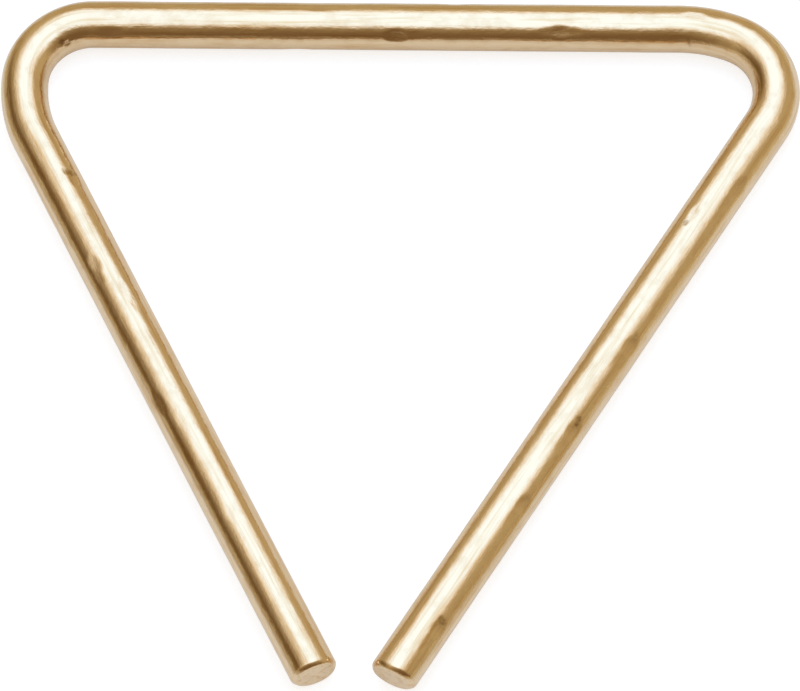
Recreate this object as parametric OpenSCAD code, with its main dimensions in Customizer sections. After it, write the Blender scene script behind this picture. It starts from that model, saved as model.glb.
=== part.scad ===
// Triangle, 6 inch: one bronze rod, bent at two corners, open at the third and hammered by hand.
// It lies flat: X runs along the closed side, Y points from the open corner to it, Z is up.
// The origin is under the middle of the outline, on the surface that the rod lies on.

/* [Rod] */
// Diameter of the rod
rod_d = 9; // [7:0.5:11]
// Closed side, between the points where its axis would meet the axes of the legs
side_span = 163.5; // [160:0.5:180]
// Chamfer round the sawn tips
tip_chamfer = 0.9; // [0.3:0.1:1.2]
// How far the left tip's saw cut is off square, in degrees, with the inner side longer
left_cut = 4; // [0:0.5:8]
// The same at the right tip
right_cut = 6.5; // [0:0.5:8]

/* [Left corner and leg] */
// Angle between the closed side and the left leg
left_angle = 61; // [60:0.5:64]
// Left leg, from the corner point of the axes to the tip
left_leg_length = 152.2; // [140:0.2:156]
// Radius of the tight left corner, on the rod's axis
left_corner_r = 12.3; // [10:0.1:16]
// Radius of the open bow between that corner and the left leg
left_bow_r = 25.3; // [20:0.1:32]
// Turn made by the left bow, in degrees
left_bow_turn = 29.5; // [15:0.5:40]

/* [Right corner and leg] */
// Angle between the closed side and the right leg
right_angle = 60.5; // [59.5:0.5:64]
// Right leg, from the corner point of the axes to the tip
right_leg_length = 153.2; // [140:0.2:156]
// Radius of the tight right corner, on the rod's axis
right_corner_r = 12.9; // [10:0.1:16]
// Radius of the open bow between the closed side and that corner
right_bow_r = 29.5; // [20:0.1:32]
// Turn made by the right bow, in degrees
right_bow_turn = 21.5; // [15:0.5:40]

/* [Hammer marks] */
// Radius of the round hammer face that leaves the short marks
peen_r = 12; // [8:0.5:16]
// Depth of a short mark from a full blow
peen_depth = 0.26; // [0.1:0.02:0.4]
// Radius of the flatter hammer face that leaves the long, soft marks
flat_r = 30; // [20:1:45]
// Depth of a long, soft mark from a full blow
flat_depth = 0.14; // [0.06:0.02:0.2]
// Radius of the hammer's edge, which leaves nicks
edge_r = 2.4; // [1.6:0.1:4]
// Depth of a nick from a full blow
edge_depth = 0.2; // [0.1:0.02:0.24]

/* [Hidden] */
$fn = 96;

BRONZE = "#C9A263";
rod_r = rod_d / 2;
tip_face_r = rod_r - tip_chamfer;

// The rod turns through the rest of the half circle at each corner.
left_corner_turn = 180 - left_angle - left_bow_turn;
right_corner_turn = 180 - right_angle - right_bow_turn;

// Travel along X and Y on two tangent arcs that leave the bar and turn downwards.
function travel_x(r1, t1, r2, t2) = -r1 * sin(t1) + r2 * (sin(t1) - sin(t1 + t2));
function travel_y(r1, t1, r2, t2) = r1 * (cos(t1) - 1) + r2 * (cos(t1 + t2) - cos(t1));

// Distance from a corner point to the end of the leg's straight, and of the bar's straight.
function leg_start(angle, r1, t1, r2, t2) = -travel_y(r1, t1, r2, t2) / sin(angle);
function bar_start(angle, r1, t1, r2, t2) =
    leg_start(angle, r1, t1, r2, t2) * cos(angle) - travel_x(r1, t1, r2, t2);

left_leg_start = leg_start(left_angle, left_corner_r, left_corner_turn, left_bow_r, left_bow_turn);
left_bar_start = bar_start(left_angle, left_corner_r, left_corner_turn, left_bow_r, left_bow_turn);
right_leg_start = leg_start(right_angle, right_bow_r, right_bow_turn, right_corner_r, right_corner_turn);
right_bar_start = bar_start(right_angle, right_bow_r, right_bow_turn, right_corner_r, right_corner_turn);

// How far the outside of a corner lies from its corner point, toward the middle.
function outside(start, r1, t1, r2) = start - rod_r - (t1 >= 90 ? r1 : r2 + (r1 - r2) * sin(t1));
function tip_reach(length, angle, cut) = length * sin(angle) + tip_face_r * cos(cut) * cos(angle);

outline_left = outside(left_bar_start, left_corner_r, left_corner_turn, left_bow_r);
outline_right = side_span - outside(right_bar_start, right_bow_r, right_bow_turn, right_corner_r);
outline_top = rod_r;
outline_bottom = -max(
    tip_reach(left_leg_length, left_angle, left_cut),
    tip_reach(right_leg_length, right_angle, right_cut)
);

// Marks on a straight: [share of its length, angle round the rod from the top toward the inside,
// force of the blow], where a full blow is 1.
BAR_PEEN = [
    [0.524, 50, 1], [0.803, 37, 1],
    [0.2, 150, 1], [0.47, 205, 1], [0.7, 165, 1]
];
BAR_FLAT = [
    [0.033, 47, 0.95], [0.288, 27, 0.4], [0.389, -23, 0.6], [0.55, 46, 0.45], [0.789, 37, 0.9],
    [0.818, 37, 0.9], [0.62, -60, 1], [0.35, 120, 1], [0.9, 230, 1]
];
LEFT_PEEN = [
    [0.102, 36, 0.6], [0.252, -18, 0.8],
    [0.18, 160, 1], [0.43, 215, 1], [0.78, 150, 1]
];
LEFT_FLAT = [
    [0.272, -24, 0.6], [0.312, 15, 1], [0.335, 22, 0.6], [0.507, -44, 1], [0.551, -8, 0.45],
    [0.722, -6, 0.6], [0.905, 9, 0.6], [0.3, 110, 1], [0.62, 190, 1]
];
LEFT_EDGE = [[0.086, 22, 0.5], [0.089, 29, 0.7], [0.092, 36, 0.6], [0.095, 43, 0.3]];
RIGHT_PEEN = [
    [0.117, -46, 1], [0.186, 10, 0.7], [0.406, -44, 0.9], [0.559, -44, 0.9], [0.692, -43, 0.75],
    [0.914, -42, 0.85], [0.3, 155, 1], [0.54, 140, 1], [0.8, 210, 1]
];
RIGHT_FLAT = [
    [0.142, -42, 0.7], [0.432, -41, 0.7], [0.583, -41, 0.7], [0.716, -41, 0.65], [0.938, -39, 0.7],
    [0.26, 225, 1], [0.65, 170, 1]
];
RIGHT_EDGE = [
    [0.203, 14, 0.6], [0.387, -41, 0.3], [0.541, -40, 0.6], [0.548, -44, 0.4], [0.9, -35, 0.5],
    [0.901, -41, 0.6], [0.902, -46, 0.4]
];

// Marks on an arc: [share of its turn, angle round the rod from the top toward the outside, force].
LEFT_CORNER_PEEN = [[0.2, 30, 0.25], [0.45, 42, 0.3], [0.72, 35, 0.25], [0.7, 130, 1]];
LEFT_CORNER_EDGE = [[0.36, -62, 0.7], [0.42, -51, 0.5]];
LEFT_BOW_PEEN = [[0.35, 38, 0.25], [0.5, 200, 1]];
RIGHT_BOW_FLAT = [[0.29, 9, 1], [0.6, 24, 0.6]];
RIGHT_BOW_EDGE = [[0.243, -54, 0.2], [0.246, -60, 0.2], [0.25, -66, 0.2], [0.253, -72, 0.2]];
RIGHT_CORNER_PEEN = [[0.08, 28, 0.3], [0.3, 40, 0.3], [0.52, 27, 0.25], [0.74, 44, 0.3], [0.55, 160, 1]];

// Stands the rod on the surface, with the middle of its outline over the origin.
module placed() {
    translate([-(outline_left + outline_right) / 2, -(outline_top + outline_bottom) / 2, rod_r])
        children();
}

// The print of a round hammer face in the top of a rod that runs along X.
module print(face_r, depth) {
    translate([0, 0, rod_r - depth + face_r])
        sphere(face_r);
}

// Prints along a straight; side is 1 where the inside is at +Y and -1 where it is at -Y.
module straight_prints(marks, from, to, side, face_r, depth) {
    for (mark = marks)
        translate([from + mark[0] * (to - from), 0, 0])
            rotate([-side * mark[1], 0, 0])
                print(face_r, mark[2] * depth);
}

// A straight stretch of rod along X.
module straight(from, to) {
    translate([from, 0, 0])
        rotate([0, 90, 0])
            cylinder(h = to - from, d = rod_d);
}

// A leg along X whose tip is sawn a little off square and chamfered by a cone; side is 1 where the
// inside is at +Y and -1 where it is at -Y.
module leg(from, to, side, cut) {
    intersection() {
        straight(from, to + rod_d);
        translate([to + tip_face_r * sin(cut), 0, 0])
            rotate([0, 0, -side * cut])
                rotate([0, -90, 0])
                    cylinder(h = to, r1 = tip_face_r, r2 = tip_face_r + to);
    }
}

// An arc of rod that starts at the origin, heads along -X and turns toward -Y.
module arc(r, turn) {
    translate([0, -r, 0])
        rotate([0, 0, 90])
            rotate_extrude(angle = turn)
                translate([r, 0])
                    circle(d = rod_d);
}

// Prints along such an arc.
module arc_prints(marks, r, turn, face_r, depth) {
    for (mark = marks)
        translate([0, -r, 0])
            rotate([0, 0, 90 + mark[0] * turn])
                translate([r, 0, 0])
                    rotate([0, mark[1], 0])
                        print(face_r, mark[2] * depth);
}

// Carries its children to the end of an arc and turns them to go on from there.
module after_arc(r, turn) {
    translate([-r * sin(turn), r * (cos(turn) - 1), 0])
        rotate([0, 0, turn])
            children();
}

// Puts children made along X on the left leg, from the left corner point toward the tip.
module on_left_leg() {
    placed()
        rotate([0, 0, -left_angle])
            children();
}

// Puts children made along X on the right leg, from the right corner point toward the tip.
module on_right_leg() {
    placed()
        translate([side_span, 0, 0])
            rotate([0, 0, 180 + right_angle])
                children();
}

// Puts children made from the origin toward -X at the left end of the bar's straight.
module from_left_bar_end() {
    placed()
        translate([left_bar_start, 0, 0])
            children();
}

// The same at the right end, mirrored.
module from_right_bar_end() {
    placed()
        translate([side_span - right_bar_start, 0, 0])
            mirror([1, 0, 0])
                children();
}

module top_bar() {
    from = left_bar_start;
    to = side_span - right_bar_start;
    color(BRONZE)
        placed()
            difference() {
                straight(from, to);
                straight_prints(BAR_PEEN, from, to, -1, peen_r, peen_depth);
                straight_prints(BAR_FLAT, from, to, -1, flat_r, flat_depth);
            }
}

module left_corner() {
    color(BRONZE)
        from_left_bar_end()
            difference() {
                arc(left_corner_r, left_corner_turn);
                arc_prints(LEFT_CORNER_PEEN, left_corner_r, left_corner_turn, peen_r, peen_depth);
                arc_prints(LEFT_CORNER_EDGE, left_corner_r, left_corner_turn, edge_r, edge_depth);
            }
}

module left_bow() {
    color(BRONZE)
        from_left_bar_end()
            after_arc(left_corner_r, left_corner_turn)
                difference() {
                    arc(left_bow_r, left_bow_turn);
                    arc_prints(LEFT_BOW_PEEN, left_bow_r, left_bow_turn, peen_r, peen_depth);
                }
}

module right_bow() {
    color(BRONZE)
        from_right_bar_end()
            difference() {
                arc(right_bow_r, right_bow_turn);
                arc_prints(RIGHT_BOW_FLAT, right_bow_r, right_bow_turn, flat_r, flat_depth);
                arc_prints(RIGHT_BOW_EDGE, right_bow_r, right_bow_turn, edge_r, edge_depth);
            }
}

module right_corner() {
    color(BRONZE)
        from_right_bar_end()
            after_arc(right_bow_r, right_bow_turn)
                difference() {
                    arc(right_corner_r, right_corner_turn);
                    arc_prints(RIGHT_CORNER_PEEN, right_corner_r, right_corner_turn, peen_r, peen_depth);
                }
}

module left_leg() {
    color(BRONZE)
        on_left_leg()
            difference() {
                leg(left_leg_start, left_leg_length, 1, left_cut);
                straight_prints(LEFT_PEEN, left_leg_start, left_leg_length, 1, peen_r, peen_depth);
                straight_prints(LEFT_FLAT, left_leg_start, left_leg_length, 1, flat_r, flat_depth);
                straight_prints(LEFT_EDGE, left_leg_start, left_leg_length, 1, edge_r, edge_depth);
            }
}

module right_leg() {
    color(BRONZE)
        on_right_leg()
            difference() {
                leg(right_leg_start, right_leg_length, -1, right_cut);
                straight_prints(RIGHT_PEEN, right_leg_start, right_leg_length, -1, peen_r, peen_depth);
                straight_prints(RIGHT_FLAT, right_leg_start, right_leg_length, -1, flat_r, flat_depth);
                straight_prints(RIGHT_EDGE, right_leg_start, right_leg_length, -1, edge_r, edge_depth);
            }
}

top_bar();
left_corner();
left_bow();
left_leg();
right_bow();
right_corner();
right_leg();
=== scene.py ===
# Triangle, 6 inch: the looks of one bronze rod, bent at two corners and hammered by hand.
# The rod's sizes are in millimetres, as in the part's source, and MM turns them to metres.
# What isn't the object, such as the table, the card and the lamp, is in metres, unless a comment
# says otherwise.

import math

import bpy
from mathutils import Matrix, Vector


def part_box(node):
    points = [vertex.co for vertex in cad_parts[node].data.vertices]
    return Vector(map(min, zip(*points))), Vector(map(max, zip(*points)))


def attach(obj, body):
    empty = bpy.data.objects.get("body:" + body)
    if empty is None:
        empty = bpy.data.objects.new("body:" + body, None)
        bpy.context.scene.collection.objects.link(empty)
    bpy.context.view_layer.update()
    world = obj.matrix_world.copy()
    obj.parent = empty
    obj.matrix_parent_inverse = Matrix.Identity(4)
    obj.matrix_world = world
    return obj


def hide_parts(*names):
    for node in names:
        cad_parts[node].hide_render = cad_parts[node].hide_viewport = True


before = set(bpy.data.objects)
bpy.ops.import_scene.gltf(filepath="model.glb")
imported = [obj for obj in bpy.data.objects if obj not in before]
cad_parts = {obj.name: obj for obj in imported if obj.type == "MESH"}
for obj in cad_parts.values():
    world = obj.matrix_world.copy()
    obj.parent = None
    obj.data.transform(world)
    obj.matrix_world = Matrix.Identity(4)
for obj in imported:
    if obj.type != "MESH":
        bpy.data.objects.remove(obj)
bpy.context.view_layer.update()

MM = 0.001
UP = Vector((0, 0, 1))

# The rod, and its way out of each end of the closed side, by a tight corner and an open bow to a
# leg: radius and turn in degrees of each bend, and length of each leg.
ROD_D = 9
ROD_R = ROD_D / 2
LEFT_WAY = [("left_corner", 12.3, 89.5), ("left_bow", 25.3, 29.5), ("left_leg", 123.983)]
RIGHT_WAY = [("right_bow", 29.5, 21.5), ("right_corner", 12.9, 98.0), ("right_leg", 129.753)]

# Distance between the rings that make the rod, and the points round each ring.
RING_STEP = 0.34
RING_POINTS = 72

# The chamfer round the sawn tips, and a tip's end from its middle outwards: depth behind the tip,
# radius. The file that cut the chamfer has left it a little rounded.
TIP_CHAMFER = 0.9
TIP_PROFILE = [
    (0.0, 0.06), (0.003, 0.9), (0.008, 1.8), (0.014, 2.6), (0.022, 3.2), (0.035, 3.45),
    (0.055, 3.58), (0.08, 3.7), (0.13, 3.83), (0.23, 3.98), (0.37, 4.13), (0.53, 4.27),
    (0.7, 4.385), (0.88, 4.465), (1.05, 4.495), (1.25, 4.5),
]
# Least gap between that profile and the next ring of the rod.
TIP_GAP = 0.2

# The tips are sawn a little off square: how far the inner side reaches past the outer one for each
# millimetre across, and the length of tip that leans with it.
LEFT_CUT = math.tan(math.radians(4))
RIGHT_CUT = math.tan(math.radians(6.5))
CUT_LENGTH = 4

# Faces of the hammer, by their radius: its round one, its flatter one and its edge.
BALL = 12
FLAT = 30
EDGE = 2.4

# Hammer marks: share of the stretch, angle round the rod from the top toward the inside, the
# hammer's face and the depth of its print.
MARKS = {
    "top_bar": [
        (0.033, 47, FLAT, 0.133), (0.524, 50, BALL, 0.26), (0.803, 37, BALL, 0.26),
        (0.2, 150, BALL, 0.26), (0.47, 205, BALL, 0.26), (0.7, 165, BALL, 0.26),
        (0.288, 27, FLAT, 0.056), (0.389, -23, FLAT, 0.084), (0.62, -60, FLAT, 0.14),
        (0.35, 120, FLAT, 0.14), (0.9, 230, FLAT, 0.14),
    ],
    "left_leg": [
        (0.102, 36, BALL, 0.156), (0.252, -18, BALL, 0.208), (0.312, 15, FLAT, 0.14),
        (0.507, -37, FLAT, 0.14), (0.18, 160, BALL, 0.26), (0.43, 215, BALL, 0.26),
        (0.78, 150, BALL, 0.26), (0.551, -8, FLAT, 0.063), (0.722, -6, FLAT, 0.084),
        (0.905, 9, FLAT, 0.084), (0.3, 110, FLAT, 0.14), (0.62, 190, FLAT, 0.14),
    ],
    "right_leg": [
        (0.117, -46, FLAT, 0.16), (0.186, 10, BALL, 0.182), (0.406, -44, BALL, 0.234),
        (0.559, -44, BALL, 0.234), (0.692, -43, BALL, 0.195), (0.914, -42, BALL, 0.221),
        (0.3, 155, BALL, 0.26), (0.54, 140, BALL, 0.26), (0.8, 210, BALL, 0.26),
        (0.26, 225, FLAT, 0.14), (0.65, 170, FLAT, 0.14),
    ],
    "left_corner": [
        (0.2, -30, BALL, 0.065), (0.45, -42, BALL, 0.078), (0.72, -35, BALL, 0.065),
        (0.7, -130, BALL, 0.26),
    ],
    "left_bow": [(0.35, -38, BALL, 0.065), (0.5, -200, BALL, 0.26)],
    "right_bow": [(0.29, -9, FLAT, 0.14), (0.6, -24, FLAT, 0.084)],
    "right_corner": [
        (0.08, -28, BALL, 0.078), (0.3, -40, BALL, 0.078), (0.52, -27, BALL, 0.065),
        (0.74, -44, BALL, 0.078), (0.55, -160, BALL, 0.26),
    ],
}

# Second, lighter blows beside the marks, and nicks from the hammer's edge, given in the same way.
SECOND_BLOWS = {
    "top_bar": [(0.55, 46, FLAT, 0.063), (0.789, 37, FLAT, 0.126), (0.818, 37, FLAT, 0.126)],
    "left_leg": [(0.272, -24, FLAT, 0.084), (0.335, 22, FLAT, 0.084)],
    "right_leg": [
        (0.142, -42, FLAT, 0.098), (0.432, -41, FLAT, 0.098), (0.583, -41, FLAT, 0.098),
        (0.716, -41, FLAT, 0.091), (0.938, -39, FLAT, 0.098),
    ],
}
NICKS = {
    "left_leg": [
        (0.086, 22, EDGE, 0.1), (0.089, 29, EDGE, 0.14), (0.092, 36, EDGE, 0.12),
        (0.095, 43, EDGE, 0.06),
    ],
    "right_leg": [
        (0.203, 14, EDGE, 0.12), (0.387, -41, EDGE, 0.06), (0.541, -40, EDGE, 0.12),
        (0.548, -44, EDGE, 0.08), (0.9, -35, EDGE, 0.1), (0.901, -41, EDGE, 0.12),
        (0.902, -46, EDGE, 0.08),
    ],
    "left_corner": [(0.36, 62, EDGE, 0.14), (0.42, 51, EDGE, 0.1)],
    "right_bow": [
        (0.243, 54, EDGE, 0.04), (0.246, 60, EDGE, 0.04), (0.25, 66, EDGE, 0.04),
        (0.253, 72, EDGE, 0.04),
    ],
}

# Between the marks the rod is uneven: how deep and how long the swell is, and the top of its noise.
UNEVENNESS = 0.12
UNEVEN_LENGTH = 14
SWELL_TOP = 0.72

# How softly a print's rim is rounded, and the depths of a mark and of a nick from which the
# metal's looks have changed fully.
RIM_SOFTNESS = 0.05
FULL_MARK = 0.15
FULL_NICK = 0.06
# How much further out the rod may reach where it misses a print, in metres: more than it does.
FAR_OUT = 1.0

# What a full mark adds to the brown bloom and painted shade, to the dullness and, as a multiple, to the
# grain's height.
MARK_BLOOM_AND_SHADE = 0.12
MARK_DULL = 0.07
MARK_GRAIN = 3.0

# Half a side of the table. It glows for the camera, which makes it white, and the metal mirrors a
# share of that glow.
TABLE_HALF = 10
TABLE_GLOW = 0.76
MIRRORED_GLOW = 0.6

# The reflector card: half a side, its height over the table and how much of the inside it covers.
CARD_HALF = 2
CARD_HEIGHT = 0.0002
CREAM_COVER = 0.6
# Lines that lay it out, most of them under the rod's axis: the way each faces, and how far out along
# that way it lies, in millimetres.
CARD_LINES = {
    "right_leg": ((0.870, -0.492), 38.7),
    "top_bar": ((0, 1), 65.3),
    "past_left_corner": ((-0.866, 0.5), 90.1),
    "left_leg": ((-0.875, -0.485), 40.1),
}

# The photograph's view: turn from the near side, height and roll in degrees, lens and sensor in
# millimetres, the point aimed at in millimetres and the camera's distance from it in metres.
VIEW_TURN = 14.727
VIEW_HEIGHT = 64.292
VIEW_ROLL = -12.590
LENS = 322.98
SENSOR = 36
AIM = Vector((3.451, -1.466, 4.5))
DISTANCE = 1.3352

# The ways that the room's near wall and its cream screen lie, and how high the screen reaches.
NEAR_WALL = (0.22, -0.975, 0.0)
CREAM_SCREEN = (-0.864, -0.503, 0.0)
SCREEN_TOP = 1.233

# The softbox: width and length, its middle, its turn in radians and its brightness.
SOFTBOX_SIZE = (2.511, 2.634)
SOFTBOX_PLACE = (0.152, 0.714, 0.856)
SOFTBOX_TURN = 0.189
SOFTBOX_BRIGHTNESS = 1.8


def linear(colour):
    """An sRGB hex colour as the linear RGBA that Blender's sockets take."""
    shares = [int(colour[i:i + 2], 16) / 255 for i in (1, 3, 5)]
    return [s / 12.92 if s <= 0.04045 else ((s + 0.055) / 1.055) ** 2.4 for s in shares] + [1]


def add(tree, kind, inputs=None, **settings):
    """Adds a node with its settings, and fills its inputs with values, sockets or other nodes.

    A node given as an input stands for its first output in use. Inputs that share a name go by
    number: 0 to 2 are a sum's terms, 1 and 2 a range's ends before and 3 and 4 its ends after,
    6 and 7 a mix's two colours, and 0 to 2 the share and the two shaders of their mix.
    """
    node = tree.nodes.new(kind)
    for name, value in settings.items():
        setattr(node, name, value)
    for name, value in (inputs or {}).items():
        if isinstance(value, bpy.types.Node):
            value = next(output for output in value.outputs if output.enabled)
        if isinstance(value, bpy.types.NodeSocket):
            tree.links.new(value, node.inputs[name])
        else:
            node.inputs[name].default_value = value
    return node


def emptied_tree(owner):
    """The shader tree of a material, the world or a lamp, emptied for its own nodes."""
    owner.use_nodes = True
    owner.node_tree.nodes.clear()
    return owner.node_tree


def stretch_along(start, heading, way, side):
    """Points along each stretch of a way, in mm; side is 1 where it turns left and -1 right."""
    stretches = {}
    for name, size, *turn in way:
        length = math.radians(turn[0]) * size if turn else size
        steps = max(2, round(length / RING_STEP))
        normal = Vector((-heading.y, heading.x, 0)) * side
        points = []
        for i in range(steps + 1):
            gone = length * i / steps
            if turn:
                swung = Matrix.Rotation(side * gone / size, 3, "Z") @ normal
                points.append(start + normal * size - swung * size)
            else:
                points.append(start + heading * gone)
        stretches[name] = points
        start = points[-1]
        if turn:
            heading = Matrix.Rotation(side * math.radians(turn[0]), 3, "Z") @ heading
    return stretches


def rod_stretches():
    """The rod's axis by stretch, each from the left tip's end toward the right tip's, in mm."""
    low, high = (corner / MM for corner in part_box("top_bar"))
    left = Vector((low.x, high.y - ROD_R, ROD_R))
    right = Vector((high.x, high.y - ROD_R, ROD_R))
    stretches = stretch_along(left, Vector((-1, 0, 0)), LEFT_WAY, 1)
    stretches = {name: points[::-1] for name, points in reversed(stretches.items())}
    stretches |= stretch_along(left, Vector((1, 0, 0)), [("top_bar", (right - left).length)], 1)
    stretches |= stretch_along(right, Vector((1, 0, 0)), RIGHT_WAY, -1)
    return stretches


def path_curve(stretches):
    """The rod's axis as a curve, with the tips' turned profile in the radius of its points."""
    axis = []
    for points in stretches.values():
        axis += points if not axis else points[1:]
    clear = TIP_PROFILE[-1][0] + TIP_GAP
    inner = [p for p in axis if min((p - axis[0]).length, (p - axis[-1]).length) > clear]
    left = (inner[0] - axis[0]).normalized()
    right = (inner[-1] - axis[-1]).normalized()
    rings = [(axis[0] + left * depth, radius) for depth, radius in TIP_PROFILE]
    rings += [(p, ROD_R) for p in inner]
    rings += [(axis[-1] + right * depth, radius) for depth, radius in reversed(TIP_PROFILE)]
    curve = bpy.data.curves.new("rod_path", "CURVE")
    curve.dimensions = "3D"
    spline = curve.splines.new("POLY")
    spline.points.add(len(rings) - 1)
    for point, (place, radius) in zip(spline.points, rings):
        point.co = (*(place * MM), 1)
        point.radius = radius / ROD_R
    return bpy.data.objects.new("rod_path", curve)


def print_points(title, prints, stretches):
    """One point for each print, with the middle and radius of the ball that makes it."""
    places, balls, faces = [], [], []
    for name, marks in prints.items():
        points = stretches[name]
        if name.startswith("left_"):
            points = points[::-1]
        for share, angle, face, depth in marks:
            spot = share * (len(points) - 1)
            i = min(int(spot), len(points) - 2)
            place = points[i].lerp(points[i + 1], spot - i)
            heading = (points[i + 1] - points[i]).normalized()
            if name.startswith("left_"):
                heading = -heading
            inside = heading.cross(UP)
            turn = math.radians(angle)
            out = math.cos(turn) * UP + math.sin(turn) * inside
            places.append((place + out * ROD_R) * MM)
            balls.append((place + out * (ROD_R - depth + face)) * MM)
            faces.append(face * MM)
    mesh = bpy.data.meshes.new(title)
    mesh.from_pydata(places, [], [])
    mesh.attributes.new("ball", "FLOAT_VECTOR", "POINT").data.foreach_set(
        "vector", [value for ball in balls for value in ball])
    mesh.attributes.new("face", "FLOAT", "POINT").data.foreach_set("value", faces)
    return bpy.data.objects.new(title, mesh)


def rod_tree():
    """Geometry Nodes that sweep a ring along the path and press the hammer marks into it."""
    tree = bpy.data.node_groups.new("hammered_rod", "GeometryNodeTree")
    for name in ("Path", "Marks", "Second blows", "Nicks"):
        tree.interface.new_socket(name, in_out="INPUT", socket_type="NodeSocketObject")
    ring_points = tree.interface.new_socket("Ring points", in_out="INPUT", socket_type="NodeSocketInt")
    ring_points.default_value = RING_POINTS
    for name, value in [
        ("Rod radius", ROD_R * MM), ("Rim softness", RIM_SOFTNESS * MM),
        ("Unevenness", UNEVENNESS * MM), ("Uneven length", UNEVEN_LENGTH * MM), ("Swell top", SWELL_TOP),
        ("Left cut", LEFT_CUT), ("Right cut", RIGHT_CUT), ("Cut length", CUT_LENGTH * MM),
        ("Tip face radius", (ROD_R - TIP_CHAMFER) * MM), ("Full mark", FULL_MARK * MM),
        ("Full nick", FULL_NICK * MM),
    ]:
        socket = tree.interface.new_socket(name, in_out="INPUT", socket_type="NodeSocketFloat")
        socket.default_value = value
    tree.interface.new_socket("Metal", in_out="INPUT", socket_type="NodeSocketMaterial")
    tree.interface.new_socket("Rod", in_out="OUTPUT", socket_type="NodeSocketGeometry")
    sizes = add(tree, "NodeGroupInput").outputs

    # The path keeps its own place and heading on every point, and the rings carry them along.
    path = add(tree, "GeometryNodeObjectInfo", {"Object": sizes["Path"]}, transform_space="ORIGINAL")
    place = add(tree, "GeometryNodeInputPosition")
    kept = path.outputs["Geometry"]
    for name, kind, source in [
        ("axis", "FLOAT_VECTOR", place),
        ("heading", "FLOAT_VECTOR", add(tree, "GeometryNodeInputTangent")),
        ("along", "FLOAT", add(tree, "GeometryNodeSplineParameter").outputs["Length"]),
        ("whole", "FLOAT", add(tree, "GeometryNodeSplineLength")),
    ]:
        kept = add(tree, "GeometryNodeStoreNamedAttribute",
                   {"Geometry": kept, "Name": name, "Value": source}, data_type=kind)
    ring = add(tree, "GeometryNodeCurvePrimitiveCircle",
               {"Resolution": sizes["Ring points"], "Radius": sizes["Rod radius"]})
    swept = add(tree, "GeometryNodeCurveToMesh", {
        "Curve": kept, "Profile Curve": ring, "Fill Caps": True,
        "Scale": add(tree, "GeometryNodeInputRadius"),
    })
    axis, heading, along, whole = (
        add(tree, "GeometryNodeInputNamedAttribute", {"Name": name}, data_type=kind)
        for name, kind in [
            ("axis", "FLOAT_VECTOR"), ("heading", "FLOAT_VECTOR"), ("along", "FLOAT"), ("whole", "FLOAT"),
        ]
    )

    # The way out from the axis through each point of a ring.
    arm = add(tree, "ShaderNodeVectorMath", {0: place, 1: axis}, operation="SUBTRACT")
    reach = add(tree, "ShaderNodeVectorMath", {0: arm}, operation="LENGTH")
    out = add(tree, "ShaderNodeVectorMath", {0: arm}, operation="NORMALIZE")

    # Where that way meets the ball of the nearest print, or far out if it misses it.
    pressed = deepest = reach
    for prints in ("Marks", "Second blows", "Nicks"):
        points = add(tree, "GeometryNodeObjectInfo", {"Object": sizes[prints]}, transform_space="ORIGINAL")
        points = points.outputs["Geometry"]
        nearest = add(tree, "GeometryNodeSampleNearest", {"Geometry": points})
        picked = {}
        for name, kind in [("ball", "FLOAT_VECTOR"), ("face", "FLOAT")]:
            value = add(tree, "GeometryNodeInputNamedAttribute", {"Name": name}, data_type=kind)
            picked[name] = add(tree, "GeometryNodeSampleIndex",
                               {"Geometry": points, "Value": value, "Index": nearest}, data_type=kind)
        to_ball = add(tree, "ShaderNodeVectorMath", {0: picked["ball"], 1: axis}, operation="SUBTRACT")
        ahead = add(tree, "ShaderNodeVectorMath", {0: to_ball, 1: out}, operation="DOT_PRODUCT")
        far = add(tree, "ShaderNodeVectorMath", {0: to_ball, 1: to_ball}, operation="DOT_PRODUCT")
        face_square = add(tree, "ShaderNodeMath", {0: picked["face"], 1: picked["face"]},
                          operation="MULTIPLY")
        ahead_square = add(tree, "ShaderNodeMath", {0: ahead, 1: ahead}, operation="MULTIPLY")
        beyond = add(tree, "ShaderNodeMath", {0: far, 1: face_square}, operation="SUBTRACT")
        inside = add(tree, "ShaderNodeMath", {0: ahead_square, 1: beyond}, operation="SUBTRACT")
        above = add(tree, "ShaderNodeMath", {0: inside, 1: 0.0}, operation="MAXIMUM")
        half = add(tree, "ShaderNodeMath", {0: above}, operation="SQRT")
        hit = add(tree, "ShaderNodeMath", {0: ahead, 1: half}, operation="SUBTRACT")
        nearer = add(tree, "ShaderNodeMath", {0: inside, 1: ahead}, operation="MINIMUM")
        misses = add(tree, "ShaderNodeMath", {0: nearer, 1: 0.0}, operation="LESS_THAN")
        bottom = add(tree, "ShaderNodeMath", {0: misses, 1: FAR_OUT, 2: hit}, operation="MULTIPLY_ADD")
        pressed = add(tree, "ShaderNodeMath", {0: pressed, 1: bottom, 2: sizes["Rim softness"]},
                      operation="SMOOTH_MIN")
        deepest = add(tree, "ShaderNodeMath", {0: deepest, 1: bottom}, operation="MINIMUM")

    # Hand work leaves the rod a little uneven between the marks too.
    scaled = add(tree, "ShaderNodeVectorMath", {0: place, 1: sizes["Uneven length"]}, operation="DIVIDE")
    swell = add(tree, "ShaderNodeTexNoise",
                {"Vector": scaled, "Scale": 1.0, "Detail": 2.0, "Roughness": 0.55})
    centred = add(tree, "ShaderNodeMath", {0: swell, 1: sizes["Swell top"]}, operation="SUBTRACT")
    height = add(tree, "ShaderNodeMath", {0: centred, 1: sizes["Unevenness"]}, operation="MULTIPLY")
    share = add(tree, "ShaderNodeMath", {0: reach, 1: sizes["Rod radius"]}, operation="DIVIDE")
    swollen = add(tree, "ShaderNodeMath", {0: height, 1: share, 2: pressed}, operation="MULTIPLY_ADD")
    moved = add(tree, "ShaderNodeVectorMath", {0: out, "Scale": swollen}, operation="SCALE")
    round_surface = add(tree, "ShaderNodeVectorMath", {0: axis, 1: moved}, operation="ADD")

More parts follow.
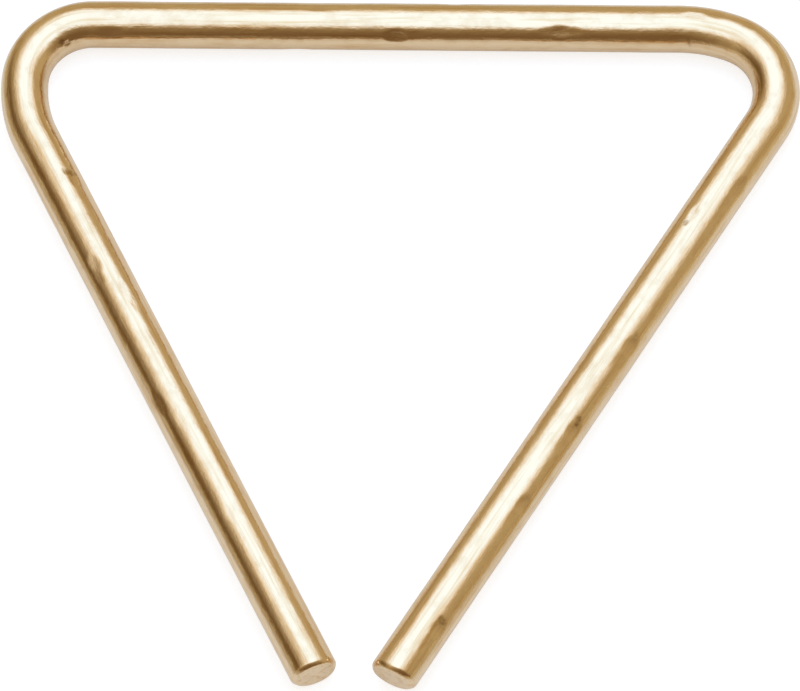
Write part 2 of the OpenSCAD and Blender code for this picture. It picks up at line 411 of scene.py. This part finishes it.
    # How far each point lies toward the inside of the triangle, and up.
    across = add(tree, "ShaderNodeVectorMath", {0: heading, 1: UP}, operation="CROSS_PRODUCT")
    sideways = add(tree, "ShaderNodeVectorMath", {0: arm, 1: across}, operation="DOT_PRODUCT")
    upward = add(tree, "ShaderNodeSeparateXYZ", {0: arm}).outputs["Z"]

    # The off-square saw cuts: toward each end the rod leans along itself, most on its inner side.
    to_right_end = add(tree, "ShaderNodeMath", {0: whole, 1: along}, operation="SUBTRACT")
    lean = 0.0
    for cut, distance, way in [("Left cut", along, -1.0), ("Right cut", to_right_end, 1.0)]:
        near = add(tree, "ShaderNodeMapRange",
                   {"Value": distance, 1: 0.0, 2: sizes["Cut length"], 3: way, 4: 0.0})
        lean = add(tree, "ShaderNodeMath", {0: near, 1: sizes[cut], 2: lean}, operation="MULTIPLY_ADD")
    from_outside = add(tree, "ShaderNodeMath", {0: sideways, 1: sizes["Tip face radius"]}, operation="ADD")
    shift = add(tree, "ShaderNodeMath", {0: lean, 1: from_outside}, operation="MULTIPLY")
    leaning = add(tree, "ShaderNodeVectorMath", {0: heading, "Scale": shift}, operation="SCALE")
    surface = add(tree, "ShaderNodeVectorMath", {0: round_surface, 1: leaning}, operation="ADD")

    # What the metal reads: the place on the straightened rod, and how deep it lies in a mark or nick.
    # The last prints of the loop above are the nicks, so bottom is theirs.
    straight = add(tree, "ShaderNodeCombineXYZ", {0: along, 1: sideways, 2: upward})
    sunk = {}
    for name, floor, full in [("in_mark", deepest, "Full mark"), ("in_nick", bottom, "Full nick")]:
        depth = add(tree, "ShaderNodeMath", {0: reach, 1: floor}, operation="SUBTRACT")
        sunk[name] = add(tree, "ShaderNodeMapRange", {"Value": depth, 1: 0.0, 2: sizes[full]},
                         interpolation_type="SMOOTHSTEP")
    dressed = swept
    for name, kind, source in [
        ("straightened", "FLOAT_VECTOR", straight), ("in_mark", "FLOAT", sunk["in_mark"]),
        ("in_nick", "FLOAT", sunk["in_nick"]),
    ]:
        dressed = add(tree, "GeometryNodeStoreNamedAttribute",
                      {"Geometry": dressed, "Name": name, "Value": source}, data_type=kind)
    shaped = add(tree, "GeometryNodeSetPosition", {"Geometry": dressed, "Position": surface})
    smooth = add(tree, "GeometryNodeSetShadeSmooth", {"Geometry": shaped})
    real = add(tree, "GeometryNodeRealizeInstances", {"Geometry": smooth})
    metal = add(tree, "GeometryNodeSetMaterial", {"Geometry": real, "Material": sizes["Metal"]})
    add(tree, "NodeGroupOutput", {"Rod": metal})
    return tree


def make_rod(metal):
    """The whole rod as one plain mesh."""
    stretches = rod_stretches()
    helpers = [
        path_curve(stretches),
        print_points("hammer_marks", MARKS, stretches),
        print_points("second_blows", SECOND_BLOWS, stretches),
        print_points("hammer_nicks", NICKS, stretches),
    ]
    rod = bpy.data.objects.new("rod", bpy.data.meshes.new("rod"))
    for piece in helpers + [rod]:
        bpy.context.scene.collection.objects.link(piece)
    tree = rod_tree()
    shaping = rod.modifiers.new("hammered_rod", "NODES")
    shaping.node_group = tree
    for name, value in zip(("Path", "Marks", "Second blows", "Nicks", "Metal"), helpers + [metal]):
        shaping[tree.interface.items_tree[name].identifier] = value
    evaluated = rod.evaluated_get(bpy.context.evaluated_depsgraph_get())
    mesh = bpy.data.meshes.new_from_object(evaluated)
    rod.modifiers.remove(shaping)
    rod.data = mesh
    mesh.name = "rod"
    for helper in helpers:
        bpy.data.objects.remove(helper)
    return rod


def polished_bronze():
    """Cast tin bronze, drawn to rod and polished by hand: bright, warm gold under a soft sheen.

    The cloth leaves long, faint streaks along the rod, the hammer a cloudy, rougher skin.
    """
    material = bpy.data.materials.new("polished_bronze")
    tree = emptied_tree(material)
    place = add(tree, "ShaderNodeAttribute", attribute_name="straightened").outputs["Vector"]
    hammered = add(tree, "ShaderNodeAttribute", attribute_name="in_mark").outputs["Fac"]
    nicked = add(tree, "ShaderNodeAttribute", attribute_name="in_nick").outputs["Fac"]

    # Length along the rod and width round it, in mm. Real polishing streaks are finer than
    # a pixel here, so these are as coarse as the photograph shows them.
    patterns = {}
    for name, length, width, detail in [
        ("streaks", 22, 0.9, 3.0), ("fine", 9, 0.34, 2.0), ("clouds", 3.2, 1.9, 3.0),
        ("grain", 0.62, 0.5, 1.0),
    ]:
        spread = add(tree, "ShaderNodeVectorMath", {0: place, 1: (length * MM, width * MM, width * MM)},
                     operation="DIVIDE")
        patterns[name] = add(tree, "ShaderNodeTexNoise",
                             {"Vector": spread, "Scale": 1.0, "Detail": detail, "Roughness": 0.55})

    # What follows a pattern: where in it this begins and is full, and how strong it is there.
    shares = {}
    for name, pattern, begins, full, least, most, ease in [
        ("worn", "streaks", 0.46, 0.8, 0.0, 1.0, "SMOOTHSTEP"),
        ("bloom", "clouds", 0.45, 0.68, 0.0, 0.2, "SMOOTHSTEP"),
        ("nick_painted_shade", "clouds", 0.3, 0.65, 0.3, 0.8, "LINEAR"),
        ("dull", "clouds", 0.35, 0.7, 0.09, 0.17, "LINEAR"),
    ]:
        shares[name] = add(tree, "ShaderNodeMapRange", {
            "Value": patterns[pattern], 1: begins, 2: full, 3: least, 4: most,
        }, interpolation_type=ease)

    # The hammer adds to the bloom, which in the marks is partly painted shade, and to the dullness.
    # Painted shade darkens the nicks alone.
    bloom = add(tree, "ShaderNodeMath", {0: hammered, 1: MARK_BLOOM_AND_SHADE, 2: shares["bloom"]},
                operation="MULTIPLY_ADD")
    dull = add(tree, "ShaderNodeMath", {0: hammered, 1: MARK_DULL, 2: shares["dull"]},
               operation="MULTIPLY_ADD")
    nick_painted_shade = add(tree, "ShaderNodeMath", {0: nicked, 1: shares["nick_painted_shade"]}, operation="MULTIPLY")

    # Colour: pale gold, browner in the streaks and the bloom, with painted shade in the marks and,
    # darkest, in the nicks.
    colour = linear("#F0D6B0")
    for share, browner in [(shares["worn"], "#DDB784"), (bloom, "#CFA570"), (nick_painted_shade, "#94703F")]:
        colour = add(tree, "ShaderNodeMix", {"Factor": share, 6: colour, 7: linear(browner)},
                     data_type="RGBA")

    # Relief, in mm of height: shallow streaks, clouds that the hammer planished, and grain, which
    # stands higher in the marks.
    struck = add(tree, "ShaderNodeMath", {0: hammered, 1: MARK_GRAIN, 2: 1.0}, operation="MULTIPLY_ADD")
    patterns["grain"] = add(tree, "ShaderNodeMath", {0: patterns["grain"], 1: struck},
                            operation="MULTIPLY")
    relief = 0.0
    for name, height in [("streaks", 0.019), ("fine", 0.009), ("clouds", 0.068), ("grain", 0.009)]:
        relief = add(tree, "ShaderNodeMath", {0: patterns[name], 1: height * MM, 2: relief},
                     operation="MULTIPLY_ADD")
    bumps = add(tree, "ShaderNodeBump", {"Height": relief, "Distance": 1.0, "Strength": 1.0})
    shader = add(tree, "ShaderNodeBsdfPrincipled", {
        "Base Color": colour, "Metallic": 1.0, "Roughness": dull, "Normal": bumps,
    })
    add(tree, "ShaderNodeOutputMaterial", {"Surface": shader})
    return material


def lay_square(name, half, height, material):
    """A level square round the origin, from half its side and its height, in metres."""
    mesh = bpy.data.meshes.new(name)
    corners = [(x * half, y * half, height) for x, y in [(-1, -1), (1, -1), (1, 1), (-1, 1)]]
    mesh.from_pydata(corners, [], [(0, 1, 2, 3)])
    mesh.materials.append(material)
    square = bpy.data.objects.new(name, mesh)
    bpy.context.scene.collection.objects.link(square)
    return square


def white_table():
    """A satin white table top, seen as a white background, with the rod's soft shadow on it.

    It looks matt from above and mirrors the room's walls softly where one looks along it.
    """
    material = bpy.data.materials.new("satin_white_lacquer")
    tree = emptied_tree(material)
    rays = add(tree, "ShaderNodeLightPath").outputs
    mirrored = add(tree, "ShaderNodeMath", {0: rays["Is Glossy Ray"], 1: rays["Is Transmission Ray"]},
                   operation="MAXIMUM")
    seen = add(tree, "ShaderNodeMath", {0: mirrored, 1: MIRRORED_GLOW, 2: rays["Is Camera Ray"]},
               operation="MULTIPLY_ADD")
    glow = add(tree, "ShaderNodeMath", {0: seen, 1: TABLE_GLOW}, operation="MULTIPLY")
    matt = add(tree, "ShaderNodeBsdfPrincipled", {
        "Base Color": linear("#B3B3B3"), "Roughness": 0.9, "Specular IOR Level": 0.0,
        "Emission Color": linear("#FFFFFF"), "Emission Strength": glow,
    })
    gloss = add(tree, "ShaderNodeBsdfAnisotropic", {"Color": linear("#FFFFFF"), "Roughness": 0.2})
    # The sheen begins at about 24 degrees over the table and grows toward the level.
    grazing = add(tree, "ShaderNodeLayerWeight", {"Blend": 0.5}).outputs["Facing"]
    sheen = add(tree, "ShaderNodeMapRange", {"Value": grazing, 1: 0.594, 2: 1.116},
                interpolation_type="SMOOTHSTEP")
    shader = add(tree, "ShaderNodeMixShader", {0: sheen, 1: matt, 2: gloss})
    add(tree, "ShaderNodeOutputMaterial", {"Surface": shader})
    table = lay_square("table", TABLE_HALF, 0, material)


def gold_reflector():
    """A card under the rod that only the metal mirrors, which warms the rod's lower sides.

    It is gold outside the rod's far and right side, and cream inside the triangle.
    """
    material = bpy.data.materials.new("gold_reflector_card")
    tree = emptied_tree(material)
    place = add(tree, "ShaderNodeTexCoord").outputs["Object"]
    across = add(tree, "ShaderNodeSeparateXYZ", {0: place}).outputs["X"]

    # How far a place lies outside each line, outside the farthest gold one and outside them all.
    past = {}
    for name, (facing, distance) in CARD_LINES.items():
        along = add(tree, "ShaderNodeVectorMath", {0: place, 1: (*facing, 0)}, operation="DOT_PRODUCT")
        past[name] = add(tree, "ShaderNodeMath", {0: along, 1: distance * MM}, operation="SUBTRACT")
    outside = past["right_leg"]
    for name in ("top_bar", "past_left_corner"):
        outside = add(tree, "ShaderNodeMath", {0: outside, 1: past[name]}, operation="MAXIMUM")
    past_all = add(tree, "ShaderNodeMath", {0: outside, 1: past["left_leg"]}, operation="MAXIMUM")

    # Where the gold, the inside and the paler gold toward the right begin and are full, in mm.
    shares = {}
    for name, value, begins, full in [
        ("gold", outside, 8, 34), ("inside", past_all, -1, -6), ("paler", across, 40, 80),
    ]:
        shares[name] = add(tree, "ShaderNodeMapRange", {"Value": value, 1: begins * MM, 2: full * MM})
    cream = add(tree, "ShaderNodeMath", {0: shares["inside"], 1: CREAM_COVER}, operation="MULTIPLY")
    laid = add(tree, "ShaderNodeMath", {0: shares["gold"], 1: cream}, operation="MAXIMUM")
    # It is clear from below, so the table's sheen doesn't mirror it.
    under = add(tree, "ShaderNodeNewGeometry").outputs["Backfacing"]
    laid = add(tree, "ShaderNodeMath", {0: laid, 1: under}, operation="SUBTRACT", use_clamp=True)

    colour = linear("#D7C193")
    for share, other in [(shares["paler"], "#E9D1A0"), (shares["inside"], "#FFF4E2")]:
        colour = add(tree, "ShaderNodeMix", {"Factor": share, 6: colour, 7: linear(other)},
                     data_type="RGBA")
    clear = add(tree, "ShaderNodeBsdfTransparent")
    card = add(tree, "ShaderNodeBsdfDiffuse", {"Color": colour})
    shader = add(tree, "ShaderNodeMixShader", {0: laid, 1: clear, 2: card})
    add(tree, "ShaderNodeOutputMaterial", {"Surface": shader})
    reflector = lay_square("reflector", CARD_HALF, CARD_HEIGHT, material)
    reflector.visible_camera = False
    reflector.visible_shadow = False
    reflector.visible_diffuse = False


def place_camera():
    """The photograph's viewing angle: high above the near side, turned a little, on a long lens."""
    turn, height, roll = (math.radians(angle) for angle in (VIEW_TURN, VIEW_HEIGHT, VIEW_ROLL))
    back = Vector((
        math.cos(height) * math.sin(turn), -math.cos(height) * math.cos(turn), math.sin(height),
    ))
    level = Vector((math.cos(turn), math.sin(turn), 0))
    rise = back.cross(level)
    right = math.cos(roll) * level + math.sin(roll) * rise
    upright = -math.sin(roll) * level + math.cos(roll) * rise
    lens = bpy.data.cameras.new("camera")
    lens.sensor_width = SENSOR
    lens.lens = LENS
    camera = bpy.data.objects.new("camera", lens)
    camera.matrix_world = Matrix((right, upright, back)).transposed().to_4x4()
    camera.location = AIM * MM + back * DISTANCE
    bpy.context.scene.collection.objects.link(camera)
    bpy.context.scene.camera = camera


def warm_room():
    """A warm, dim room round the table, which the metal mirrors and the camera sees as white."""
    world = bpy.data.worlds.new("warm_room")
    bpy.context.scene.world = world
    tree = emptied_tree(world)
    way = add(tree, "ShaderNodeTexCoord").outputs["Generated"]
    parts = add(tree, "ShaderNodeSeparateXYZ", {0: way}).outputs
    near = add(tree, "ShaderNodeVectorMath", {0: way, 1: NEAR_WALL}, operation="DOT_PRODUCT")
    screen = add(tree, "ShaderNodeVectorMath", {0: way, 1: CREAM_SCREEN}, operation="DOT_PRODUCT")

    # Where each part of the room begins and is full, as shares of the way that one looks in.
    shares = {}
    for name, value, begins, full in [
        ("near", near, 0.221, 0.946), ("left", parts["X"], -0.562, -0.96),
        ("high", parts["Z"], 0.36, 0.644), ("screen", screen, -1.317, 3.282),
    ]:
        shares[name] = add(tree, "ShaderNodeMapRange", {"Value": value, 1: begins, 2: full},
                           interpolation_type="SMOOTHSTEP")

    # A broad cream screen stands low on the left and the near side, and fades upward.
    top = add(tree, "ShaderNodeMath", {0: shares["screen"], 1: SCREEN_TOP}, operation="MULTIPLY")
    below_top = add(tree, "ShaderNodeMath", {0: top, 1: parts["Z"]}, operation="SUBTRACT")
    screened = add(tree, "ShaderNodeMapRange", {"Value": below_top, 1: 0.221, 2: 0.92},
                   interpolation_type="SMOOTHSTEP")

    # Warm walls, browner on the near side and on the left, which is greyer high up.
    left_wall = add(tree, "ShaderNodeMix", {
        "Factor": shares["high"], 6: linear("#735B36"), 7: linear("#7B6C5F"),
    }, data_type="RGBA")
    camera_ray = add(tree, "ShaderNodeLightPath").outputs["Is Camera Ray"]
    walls = linear("#C1B08A")
    for share, colour in [
        (shares["near"], linear("#7A6244")), (shares["left"], left_wall),
        (screened, linear("#FFF7DB")), (camera_ray, linear("#FFFFFF")),
    ]:
        walls = add(tree, "ShaderNodeMix", {"Factor": share, 6: walls, 7: colour}, data_type="RGBA")
    background = add(tree, "ShaderNodeBackground", {"Color": walls, "Strength": 1.0})
    add(tree, "ShaderNodeOutputWorld", {"Surface": background})


def hang_softbox():
    """One big softbox over the table, brightest and coolest in its middle and dark at its rim."""
    lamp = bpy.data.lights.new("softbox", "AREA")
    lamp.shape = "RECTANGLE"
    lamp.size, lamp.size_y = SOFTBOX_SIZE
    lamp.energy = SOFTBOX_BRIGHTNESS * math.pi * lamp.size * lamp.size_y
    tree = emptied_tree(lamp)
    place = add(tree, "ShaderNodeNewGeometry").outputs["Parametric"]
    place = add(tree, "ShaderNodeSeparateXYZ", {0: place}).outputs

    # Across its width and along its length: each rim, and where the cloth is fully bright.
    cloth = 1.0
    for side, rim, full in [("X", 0.0, 0.369), ("X", 1.0, 0.5), ("Y", 0.0, 0.174), ("Y", 1.0, 0.5)]:
        edge = add(tree, "ShaderNodeMapRange", {"Value": place[side], 1: rim, 2: full},
                   interpolation_type="SMOOTHSTEP")
        cloth = add(tree, "ShaderNodeMath", {0: cloth, 1: edge}, operation="MULTIPLY")
    ramp = add(tree, "ShaderNodeValToRGB", {"Fac": cloth})
    stops = ramp.color_ramp.elements
    for spot, colour in [(0.35, "#5D697C"), (0.6, "#848E9E")]:
        stops.new(spot).color = linear(colour)
    stops[0].color = linear("#000000")
    stops[-1].color = linear("#A0CAFF")
    glow = add(tree, "ShaderNodeEmission", {"Color": ramp, "Strength": 1.0})
    add(tree, "ShaderNodeOutputLight", {"Surface": glow})
    softbox = bpy.data.objects.new("softbox", lamp)
    softbox.location = SOFTBOX_PLACE
    softbox.rotation_euler = (0, 0, SOFTBOX_TURN)
    softbox.visible_camera = False
    bpy.context.scene.collection.objects.link(softbox)


place_camera()
rod = make_rod(polished_bronze())
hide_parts("top_bar", "left_corner", "left_bow", "left_leg", "right_bow", "right_corner", "right_leg")
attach(rod, "root")
white_table()
gold_reflector()
warm_room()
hang_softbox()

bpy.context.scene.view_settings.view_transform = "Standard"
